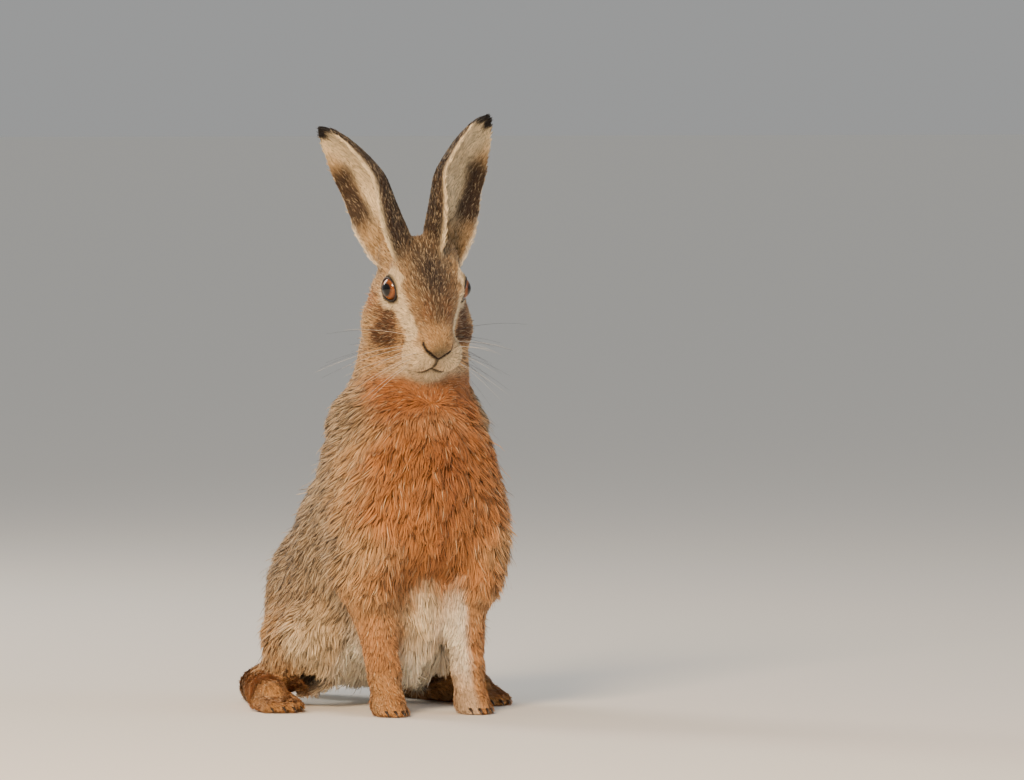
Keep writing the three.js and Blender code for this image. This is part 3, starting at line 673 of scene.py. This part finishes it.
def eyeMaterial():
    # A glass museum eye: painted iris behind clear polished glass, so the gloss lies over the colour.
    made, tree = newMaterial("glassEye")
    spread = addNode(tree, "ShaderNodeTexCoord")
    pupilOval = (1, 0.86, 0)  # makes the pupil a little higher than long
    flat = addNode(
        tree, "ShaderNodeVectorMath", {"operation": "MULTIPLY"}, {1: pupilOval}, {0: spread.outputs["Object"]}
    )
    reach = addNode(tree, "ShaderNodeVectorMath", {"operation": "LENGTH"}, {}, {0: flat.outputs["Vector"]})
    around = addNode(
        tree, "ShaderNodeVectorMath", {"operation": "NORMALIZE"}, {}, {0: flat.outputs["Vector"]}
    )
    fibresToRadian = 14.0  # real ones are too fine to show, so these are coarser
    fibres = addNode(
        tree,
        "ShaderNodeTexNoise",
        {},
        {"Scale": fibresToRadian, "Detail": 3.0},
        {"Vector": around.outputs["Vector"]},
    )
    stray = addNode(
        tree,
        "ShaderNodeMapRange",
        {},
        {"To Min": -0.5 * mm, "To Max": 0.5 * mm},
        {"Value": fibres.outputs["Fac"]},
    )
    ragged = addNode(
        tree,
        "ShaderNodeMath",
        {"operation": "ADD"},
        {},
        {0: reach.outputs["Value"], 1: stray.outputs["Result"]},
    )
    ring = addNode(
        tree, "ShaderNodeMapRange", {}, {"From Max": 10 * mm}, {"Value": ragged.outputs["Value"]}
    )
    iris = addNode(tree, "ShaderNodeValToRGB", {}, {}, {"Fac": ring.outputs["Result"]})
    stops = [(0.0, "030201"), (0.45, "040302")]  # the pupil, then the iris, as shares of 10 mm
    stops += [(0.51, "5C3210"), (0.65, "8C501E"), (0.8, "4C260C"), (0.92, "120905")]
    ramp = iris.color_ramp
    ramp.elements[0].color = (*linear(stops[0][1]), 1)
    ramp.elements[1].position, ramp.elements[1].color = stops[-1][0], (*linear(stops[-1][1]), 1)
    for position, colour in stops[1:-1]:
        ramp.elements.new(position).color = (*linear(colour), 1)
    shade = addNode(
        tree,
        "ShaderNodeBsdfPrincipled",
        {},
        {
            "Roughness": 0.4,
            "Specular IOR Level": 0.0,
            "Coat Weight": 1.0,
            "Coat Roughness": 0.02,
            "Coat IOR": 1.5,
        },
        {"Base Color": iris.outputs["Color"]},
    )
    addNode(tree, "ShaderNodeOutputMaterial", {}, {}, {"Surface": shade.outputs["BSDF"]})
    return made


def hornMaterial(name, pale, dark, grainSize, roughness):
    # Claw and whisker keratin, and the lids' bare rims: smooth, a little glossy, with darker patches.
    made, tree = newMaterial(name)
    spread = addNode(tree, "ShaderNodeTexCoord")
    patchNoise = addNode(
        tree, "ShaderNodeTexNoise", {}, {"Scale": 1 / (grainSize * mm)}, {"Vector": spread.outputs["Object"]}
    )
    colour = addNode(
        tree,
        "ShaderNodeMix",
        {"data_type": "RGBA"},
        {6: (*linear(pale), 1), 7: (*linear(dark), 1)},
        {0: patchNoise.outputs["Fac"]},
    )
    shade = addNode(
        tree,
        "ShaderNodeBsdfPrincipled",
        {},
        {"Roughness": roughness, "IOR": 1.55},
        {"Base Color": colour.outputs[2]},
    )
    addNode(tree, "ShaderNodeOutputMaterial", {}, {}, {"Surface": shade.outputs["BSDF"]})
    return made


furFinish, skinFinish, eyeFinish = furMaterial(), skinMaterial(), eyeMaterial()
skinMesh.materials.append(skinFinish)
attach(skinPiece, "root")
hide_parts(*fleshNodes)

# The coat.
coat = {
    "tufts": 285000,
    "mostInPiece": 38000,  # five triangles each, so a piece stays under 200,000
    "levels": (0, 0.38, 0.72, 1),  # up a tuft, with its width and its rise off the skin at each
    "taper": (0.75, 1, 0.66, 0),
    "rise": (-0.12, 0.5, 0.86, 1),
    "tipShade": 1.08,  # of the tuft's own colour
    "rootShade": 0.75,
    "mapPatch": 0.003,  # a tuft's size in the unwrap
    "lidGap": 1.12,  # no tuft roots inside this many of the lids' ovals
    "reach": 0.9,  # of its length that a tuft's tip lies along the skin
    "lockSpacing": 70,  # tufts to a lock
    "lockPull": 0.45,  # of its length that a tip may be drawn into its lock
    "blackTips": 0.4,  # of the ticked tufts
    "paleTipsFrom": 0.72,
    "roll": 0.7,  # radians either way
    "lowest": 0.5,  # mm above the floor
    "strayShare": 0.02,
    "stray": {"length": 1.6, "rise": 1.7, "width": 0.7},
    "lengths": (0.72, 1.18),  # of the region's own
    "widths": (0.75, 1.25),
    "rises": (0.55, 1.08),
    "tones": (0.82, 1.16),
    "lockTones": (0.88, 1.1),
    "wander": 0.16,  # how far the lie strays from tuft to tuft, and in slow waves
    "drift": ((0.21, 0.13, 0.17), (-0.11, 0.24, 0.15), (0.16, -0.19, 0.22)),  # radians to the mm
}

areas = 0.5 * np.linalg.norm(
    np.cross(
        skinPoints[skinFaces[:, 1]] - skinPoints[skinFaces[:, 0]],
        skinPoints[skinFaces[:, 2]] - skinPoints[skinFaces[:, 0]],
    ),
    axis=1,
)
density = byRegion("density", weights[skinFaces].mean(1))
chance = areas * density
picked = randomSource.choice(len(skinFaces), coat["tufts"], p=chance / chance.sum())
first, second = randomSource.random((2, coat["tufts"]))
folded = first + second > 1
first, second = np.where(folded, 1 - first, first), np.where(folded, 1 - second, second)
inTriangle = np.stack([1 - first - second, first, second], 1)[:, :, None]


def atTufts(values):
    return (values[skinFaces[picked]] * inTriangle).sum(1)


roots, rootNormals, rootFlow = atTufts(skinPoints), unit(atTufts(skinNormals)), unit(atTufts(flow))
rootWeights = atTufts(weights)
rootMaps = (cornerMaps[picked] * inTriangle).sum(1)
openEye = np.minimum(eyeOval(roots, "left"), eyeOval(roots, "right")) < coat["lidGap"]
keep = ~openEye
roots, rootNormals, rootFlow = roots[keep], rootNormals[keep], rootFlow[keep]
rootWeights, rootMaps = rootWeights[keep], rootMaps[keep]
tuftCount = len(roots)
rootColour, ticking = markings(roots, rootNormals, rootWeights)
trim = faceTrim(roots, rootWeights)
length = byRegion("length", rootWeights) * trim * randomSource.uniform(*coat["lengths"], tuftCount)
width = byRegion("width", rootWeights) * np.sqrt(trim) * randomSource.uniform(*coat["widths"], tuftCount)
rise = byRegion("depth", rootWeights) * np.clip(trim, *trimRange)
rise = rise * randomSource.uniform(*coat["rises"], tuftCount)
stray = randomSource.random(tuftCount) < coat["strayShare"]
length = np.where(stray, length * coat["stray"]["length"], length)
rise = np.where(stray, rise * coat["stray"]["rise"], rise)
width = np.where(stray, width * coat["stray"]["width"], width)

wander = randomSource.normal(0, coat["wander"], (tuftCount, 3))
slow = np.stack([np.sin(roots @ wave) for wave in np.array(coat["drift"])], 1)
direction = rootFlow + wander + coat["wander"] * slow
direction = unit(direction - (direction * rootNormals).sum(1, keepdims=True) * rootNormals)
tips = roots + direction * (coat["reach"] * length)[:, None] + rootNormals * rise[:, None]
lockRoots = randomSource.choice(tuftCount, tuftCount // coat["lockSpacing"], replace=False)
nearLock = kdtree.KDTree(len(lockRoots))
for i, index in enumerate(lockRoots):
    nearLock.insert(Vector(roots[index]), i)
nearLock.balance()
lockOf = lockRoots[np.array([nearLock.find(Vector(p))[1] for p in roots])]
pull = tips[lockOf] - tips
pull -= (pull * rootNormals).sum(1, keepdims=True) * rootNormals
most = coat["lockPull"] * length[:, None]
pull *= np.minimum(1, most / np.maximum(np.linalg.norm(pull, axis=1, keepdims=True), 1e-6))
pull *= byRegion("gather", rootWeights)[:, None]
print("locks:", len(lockRoots), "tufts:", tuftCount)

# Ticked tufts end in black, cream or their own colour, and every tuft is paler or darker than the next.
dice = randomSource.random(tuftCount)
isTicked = randomSource.random(tuftCount) < ticking
tipColour = rootColour.copy()
tipColour[isTicked & (dice < coat["blackTips"])] = fur["black"]
pale = isTicked & (dice > coat["paleTipsFrom"])
tipColour[pale] = 0.5 * rootColour[pale] + 0.5 * fur["cream"]
tone = randomSource.uniform(*coat["tones"], tuftCount)[:, None]
lockTone = randomSource.uniform(*coat["lockTones"], tuftCount)[lockOf][:, None]
rootShade = rootColour * tone * lockTone
tipShade = tipColour * tone * lockTone * coat["tipShade"]

roll = randomSource.uniform(-coat["roll"], coat["roll"], tuftCount)[:, None]
across = unit(np.cross(direction, rootNormals))
across = across * np.cos(roll) + rootNormals * np.sin(roll)
levelPoints, levelColours, levelMaps = [], [], []
for level, taper, climb in zip(coat["levels"], coat["taper"], coat["rise"]):
    centre = roots + direction * (length * level * (1 - 0.1 * level))[:, None]
    centre = centre + rootNormals * (rise * climb)[:, None] + pull * level * level
    centre[:, 2] = np.maximum(centre[:, 2], coat["lowest"])
    lowDown = (1 - level) ** 0.8
    tint = rootShade * lowDown * coat["rootShade"] + tipShade * (1 - coat["rootShade"] * lowDown)
    edges = (0,) if taper == 0 else (-1, 1)
    for edge in edges:
        levelPoints.append(centre + edge * across * (0.5 * width * taper)[:, None])
        levelColours.append(np.clip(tint, 0, 1))
        levelMaps.append(rootMaps + coat["mapPatch"] * np.array([0.5 * edge, level - 0.5]))
tuftPoints = np.stack(levelPoints, 1)
tuftColours = np.stack(levelColours, 1)
tuftMaps = np.stack(levelMaps, 1)
bladeQuads = np.array([[0, 1, 3, 2], [2, 3, 5, 4]])
bladeTip = np.array([[4, 5, 6]])
tuftRegion = rootWeights.argmax(1)
coatGroups = {
    "head": {"regions": ["head"], "slot": "coat_head"},
    "ears": {"regions": ["ear"], "slot": "coat_ear"},
    "neck": {"regions": ["neck"], "slot": "coat_chest"},
    "trunk": {"regions": ["torso", "tail"], "slot": "coat_back"},
    "legs": {"regions": ["foreleg", "forepaw", "haunch", "hindfoot"], "slot": "coat_chest"},
}
for group, holds in coatGroups.items():
    chosen = np.flatnonzero(np.isin(tuftRegion, [regionNames.index(r) for r in holds["regions"]]))
    pieces = math.ceil(len(chosen) / coat["mostInPiece"])
    for number, part in enumerate(np.array_split(chosen, pieces), 1):
        base = tuftPoints.shape[1] * np.arange(len(part))[:, None]
        blades = (bladeQuads[None] + base[:, :, None]).reshape(-1, 4)
        ends = (bladeTip[None] + base[:, :, None]).reshape(-1, 3)
        mesh = meshFromArrays("coat", tuftPoints[part].reshape(-1, 3) * mm, [blades, ends])
        setColours(mesh, tuftColours[part].reshape(-1, 3))
        layer = mesh.uv_layers.new(name="OFBake")
        corners = np.concatenate([blades.ravel(), ends.ravel()])
        layer.data.foreach_set("uv", tuftMaps[part].reshape(-1, 2)[corners].astype(np.float32).ravel())
        place("coat_%s_%d" % (group, number), mesh, furFinish)
        print("coat", group, number, "of", pieces, ":", len(part), "tufts")


# Eyes.
def tube(path, radii, corners):
    # a tapered tube round a path, as points and faces, closed at both ends
    path = np.array(path, float)
    ahead = unit(np.gradient(path, axis=0))
    up = np.array([0.13, 0.21, 0.97])  # tilted, because no path here runs that way
    across = unit(np.cross(ahead, up))
    over = np.cross(across, ahead)
    angles = np.linspace(0, 2 * math.pi, corners, endpoint=False)
    rings = path[:, None] + np.array(radii)[:, None, None] * (
        np.cos(angles)[None, :, None] * across[:, None] + np.sin(angles)[None, :, None] * over[:, None]
    )
    n = len(path)
    faces = []
    for i in range(n - 1):
        for j in range(corners):
            k = (j + 1) % corners
            faces.append([i * corners + j, i * corners + k, (i + 1) * corners + k, (i + 1) * corners + j])
    ends = [list(range(corners))[::-1], [(n - 1) * corners + j for j in range(corners)]]
    return rings.reshape(-1, 3), faces, ends


def joinedMesh(name, parts):
    points, faces = [], []
    start = 0
    for partPoints, quadsOf, ends in parts:
        points += (partPoints * mm).tolist()
        faces += [[start + i for i in face] for face in quadsOf + ends]
        start += len(partPoints)
    mesh = bpy.data.meshes.new(name)
    mesh.from_pydata(points, [], faces)
    mesh.polygons.foreach_set("use_smooth", np.ones(len(mesh.polygons), bool))
    mesh.update()
    return mesh


# The cornea's bulge and the rims' sizes in mm, and the bulge's spread in radians.
eye = {"cornea": 0.9, "corneaSpread": 0.55, "rimRadius": 0.65, "rimLift": 0.5, "rimSteps": 48}
for name in sides:
    axis, along, over = eyeFrame(name)
    ball = bmesh.new()
    bmesh.ops.create_uvsphere(ball, u_segments=48, v_segments=32, radius=eyeRadius * mm)
    for v in ball.verts:
        tilt = math.acos(max(-1, min(1, v.co.z / (eyeRadius * mm))))
        bulge = eye["cornea"] * math.exp(-((tilt / eye["corneaSpread"]) ** 2)) * mm
        v.co *= 1 + bulge / (eyeRadius * mm)
    mesh = bpy.data.meshes.new("eyeball")
    ball.to_mesh(mesh)
    ball.free()
    mesh.polygons.foreach_set("use_smooth", np.ones(len(mesh.polygons), bool))
    piece = place("eyeball_" + name, mesh, eyeFinish)
    turned = Matrix(np.stack([along, over, axis], 1).tolist()).to_4x4()
    piece.matrix_world = Matrix.Translation(Vector(eyePlace[name] * mm)) @ turned
    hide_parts("eye_" + name)

lidFinish = hornMaterial("eyelidSkin", "1E1511", "0D0907", grainSize=1.5, roughness=0.4)
rims = []
for name in sides:
    axis, along, over = eyeFrame(name)
    loop = []
    for step in range(eye["rimSteps"] + 1):
        angle = 2 * math.pi * step / eye["rimSteps"]
        lateral = lidOpening["along"] * eyeRadius * math.cos(angle) * along
        lateral = lateral + lidOpening["over"] * eyeRadius * math.sin(angle) * over
        lift = math.sqrt(max((eyeRadius + eye["rimLift"]) ** 2 - lateral @ lateral, 0))
        loop.append(eyePlace[name] + lateral + lift * axis)
    rims.append(tube(loop, [eye["rimRadius"]] * len(loop), 8))
place("eyelid_rims", joinedMesh("eyelids", rims), lidFinish)
print("eyes set")

# Whiskers.
whisker = {
    "rows": 4,
    "inRow": 5,
    "first": (13, 55, -13),  # the top front seat, in the head's axes
    "rowStep": (2.2, 5),  # mm out and down to the next row
    "seatStep": 4.5,  # mm back to the next seat
    "length": (44, 74),
    "thickness": 0.16,
    "tipThickness": 0.25,  # of that
    "rooted": 0.04,  # of its length that starts under the skin
    "droop": 0.16,
    "points": 8,
    "darkShare": 0.5,
}
firstOut, firstAhead, firstUp = whisker["first"]
whiskers = {"pale": [], "dark": []}
for side in sides.values():
    for row in range(whisker["rows"]):
        for seat in range(whisker["inRow"]):
            start = onHead(
                side * (firstOut + whisker["rowStep"][0] * row),
                firstAhead - whisker["seatStep"] * seat,
                firstUp - whisker["rowStep"][1] * row + seat,
            )
            long = randomSource.uniform(*whisker["length"]) * (0.7 + 0.09 * seat)
            aim = unit(
                side * headLeft
                + headNose * (0.2 - 0.16 * seat)
                - headUp * (0.1 + 0.22 * row)
                + randomSource.normal(0, 0.1, 3)
            )
            droop = np.array([0, 0, -whisker["droop"]]) * long
            levels = np.linspace(-whisker["rooted"], 1, whisker["points"])
            path = [start + aim * long * level + droop * level * level for level in levels]
            radii = whisker["thickness"] * np.linspace(1, whisker["tipThickness"], whisker["points"])
            tint = "dark" if randomSource.random() < whisker["darkShare"] else "pale"
            whiskers[tint].append(tube(path, radii, 4))
paleHorn = hornMaterial("whiteWhisker", "F0E9DC", "CFC2AE", grainSize=3, roughness=0.4)
darkHorn = hornMaterial("blackWhisker", "2A2019", "120D0A", grainSize=3, roughness=0.4)
place("whiskers_pale", joinedMesh("whiskers", whiskers["pale"]), paleHorn)
place("whiskers_dark", joinedMesh("whiskers", whiskers["dark"]), darkHorn)

# Claws, in mm from the ground between the forefeet: each foot's middle, its toes to either side of it,
# and where the middle toes end.
feet = {
    "fore": {
        "x": {"left": 36, "right": -36},
        "spread": (-8.7, -3, 3, 8.7),
        "tip": -28,
        "step": 5,
        "size": 6,
    },
    "hind": {
        "x": {"left": 84, "right": -95},
        "spread": (-12.5, -4.2, 4.2, 12.5),
        "tip": 52,
        "step": 6,
        "size": 8,
    },
}
# A claw's points from root to tip, its radius at each, and its drop and place on the toe, in mm.
claw = {"levels": (0, 0.35, 0.7, 1), "radii": (1.3, 1.15, 0.8, 0.2), "drop": 3.2, "sunk": 2, "height": 4.5}
claws = []
for foot in feet.values():
    for name in sides:
        for i, x in enumerate(foot["spread"]):
            backward = foot["step"] * abs(i - 1.5)  # the outer toes are the shorter ones
            ahead = foot["tip"] + backward + claw["sunk"]
            toe = ground + np.array([foot["x"][name] + x, ahead, claw["height"]])
            path = [toe + np.array([0, -foot["size"] * s, -claw["drop"] * s * s]) for s in claw["levels"]]
            claws.append(tube(path, claw["radii"], 6))
clawFinish = hornMaterial("clawHorn", "4A3A2C", "1F1712", grainSize=2, roughness=0.35)
place("claws", joinedMesh("claws", claws), clawFinish)
print("whiskers and claws set")

# Floor, light and camera.
studio = {
    "floor": "EFECE6",
    "backdrop": "D8D9D9",
    "worldStrength": 0.58,
    "lightsAim": (0, 0, 0.24),
    "worldLow": 0.88,  # of that strength, at the horizon and below
    "worldHigh": 1.05,  # and above it
    "key": {"at": (-1.7, -1.9, 1.7), "size": 0.8, "power": 112, "colour": "FFDDB5"},
    "fill": {"at": (1.9, -1.6, 1.0), "size": 1.6, "power": 12, "colour": "E8F0FF"},
    "rim": {"at": (-0.9, 1.8, 1.5), "size": 0.9, "power": 30, "colour": "FFF4E4"},
}
bpy.ops.mesh.primitive_plane_add(size=160)
floor = bpy.context.active_object
floor.name = "floor"
paper, paperTree = newMaterial("palePaper")  # matt studio paper: even and shadow-soft
sheen = addNode(
    paperTree,
    "ShaderNodeBsdfPrincipled",
    {},
    {"Base Color": (*linear(studio["floor"]), 1), "Roughness": 0.85, "Specular IOR Level": 0.2},
)
addNode(paperTree, "ShaderNodeOutputMaterial", {}, {}, {"Surface": sheen.outputs["BSDF"]})
floor.data.materials.append(paper)

world = bpy.data.worlds.new("studio")
bpy.context.scene.world = world
world.use_nodes = True
world.node_tree.nodes["Background"].inputs["Color"].default_value = (*linear(studio["backdrop"]), 1)
# the room is a little darker low down, so that the floor runs into it without an edge
aloft = addNode(world.node_tree, "ShaderNodeTexCoord")
height = addNode(world.node_tree, "ShaderNodeSeparateXYZ", {}, {}, {"Vector": aloft.outputs["Generated"]})
brightness = {
    "From Max": 0.3,
    "To Min": studio["worldLow"] * studio["worldStrength"],
    "To Max": studio["worldHigh"] * studio["worldStrength"],
}
glow = addNode(world.node_tree, "ShaderNodeMapRange", {}, brightness, {"Value": height.outputs["Z"]})
world.node_tree.links.new(glow.outputs["Result"], world.node_tree.nodes["Background"].inputs["Strength"])
for name in ("key", "fill", "rim"):
    setting = studio[name]
    lamp = bpy.data.lights.new(name, "AREA")
    lamp.energy, lamp.size, lamp.color = setting["power"], setting["size"], linear(setting["colour"])
    holder = bpy.data.objects.new(name, lamp)
    holder.location = setting["at"]
    ray = Vector(studio["lightsAim"]) - Vector(setting["at"])
    holder.rotation_euler = ray.to_track_quat("-Z", "Y").to_euler()
    bpy.context.scene.collection.objects.link(holder)

camera = {
    "azimuth": -25,
    "elevation": 2,
    "lens": 300,
    "sensor": 36,
    "mmPerPixel": 0.78,
    "pixelsAcross": 1024,
    "centre": (65.5, 253.5),  # of the picture, mm right of and above the ground under the forefeet
}
azimuth, elevation = math.radians(camera["azimuth"]), math.radians(camera["elevation"])
toCamera = Vector(
    (math.sin(azimuth) * math.cos(elevation), -math.cos(azimuth) * math.cos(elevation), math.sin(elevation))
)
pictureRight = Vector((math.cos(azimuth), math.sin(azimuth), 0))
aim = Vector(ground * mm) + pictureRight * camera["centre"][0] * mm + Vector((0, 0, camera["centre"][1] * mm))
distance = camera["lens"] / camera["sensor"] * camera["pixelsAcross"] * camera["mmPerPixel"] * mm
lensData = bpy.data.cameras.new("camera")
lensData.lens, lensData.sensor_width, lensData.clip_end = camera["lens"], camera["sensor"], 100
lensData.dof.use_dof = False
eyePoint = bpy.data.objects.new("camera", lensData)
eyePoint.location = aim + toCamera * distance
eyePoint.rotation_euler = (-toCamera).to_track_quat("-Z", "Y").to_euler()
bpy.context.scene.collection.objects.link(eyePoint)
bpy.context.scene.camera = eyePoint
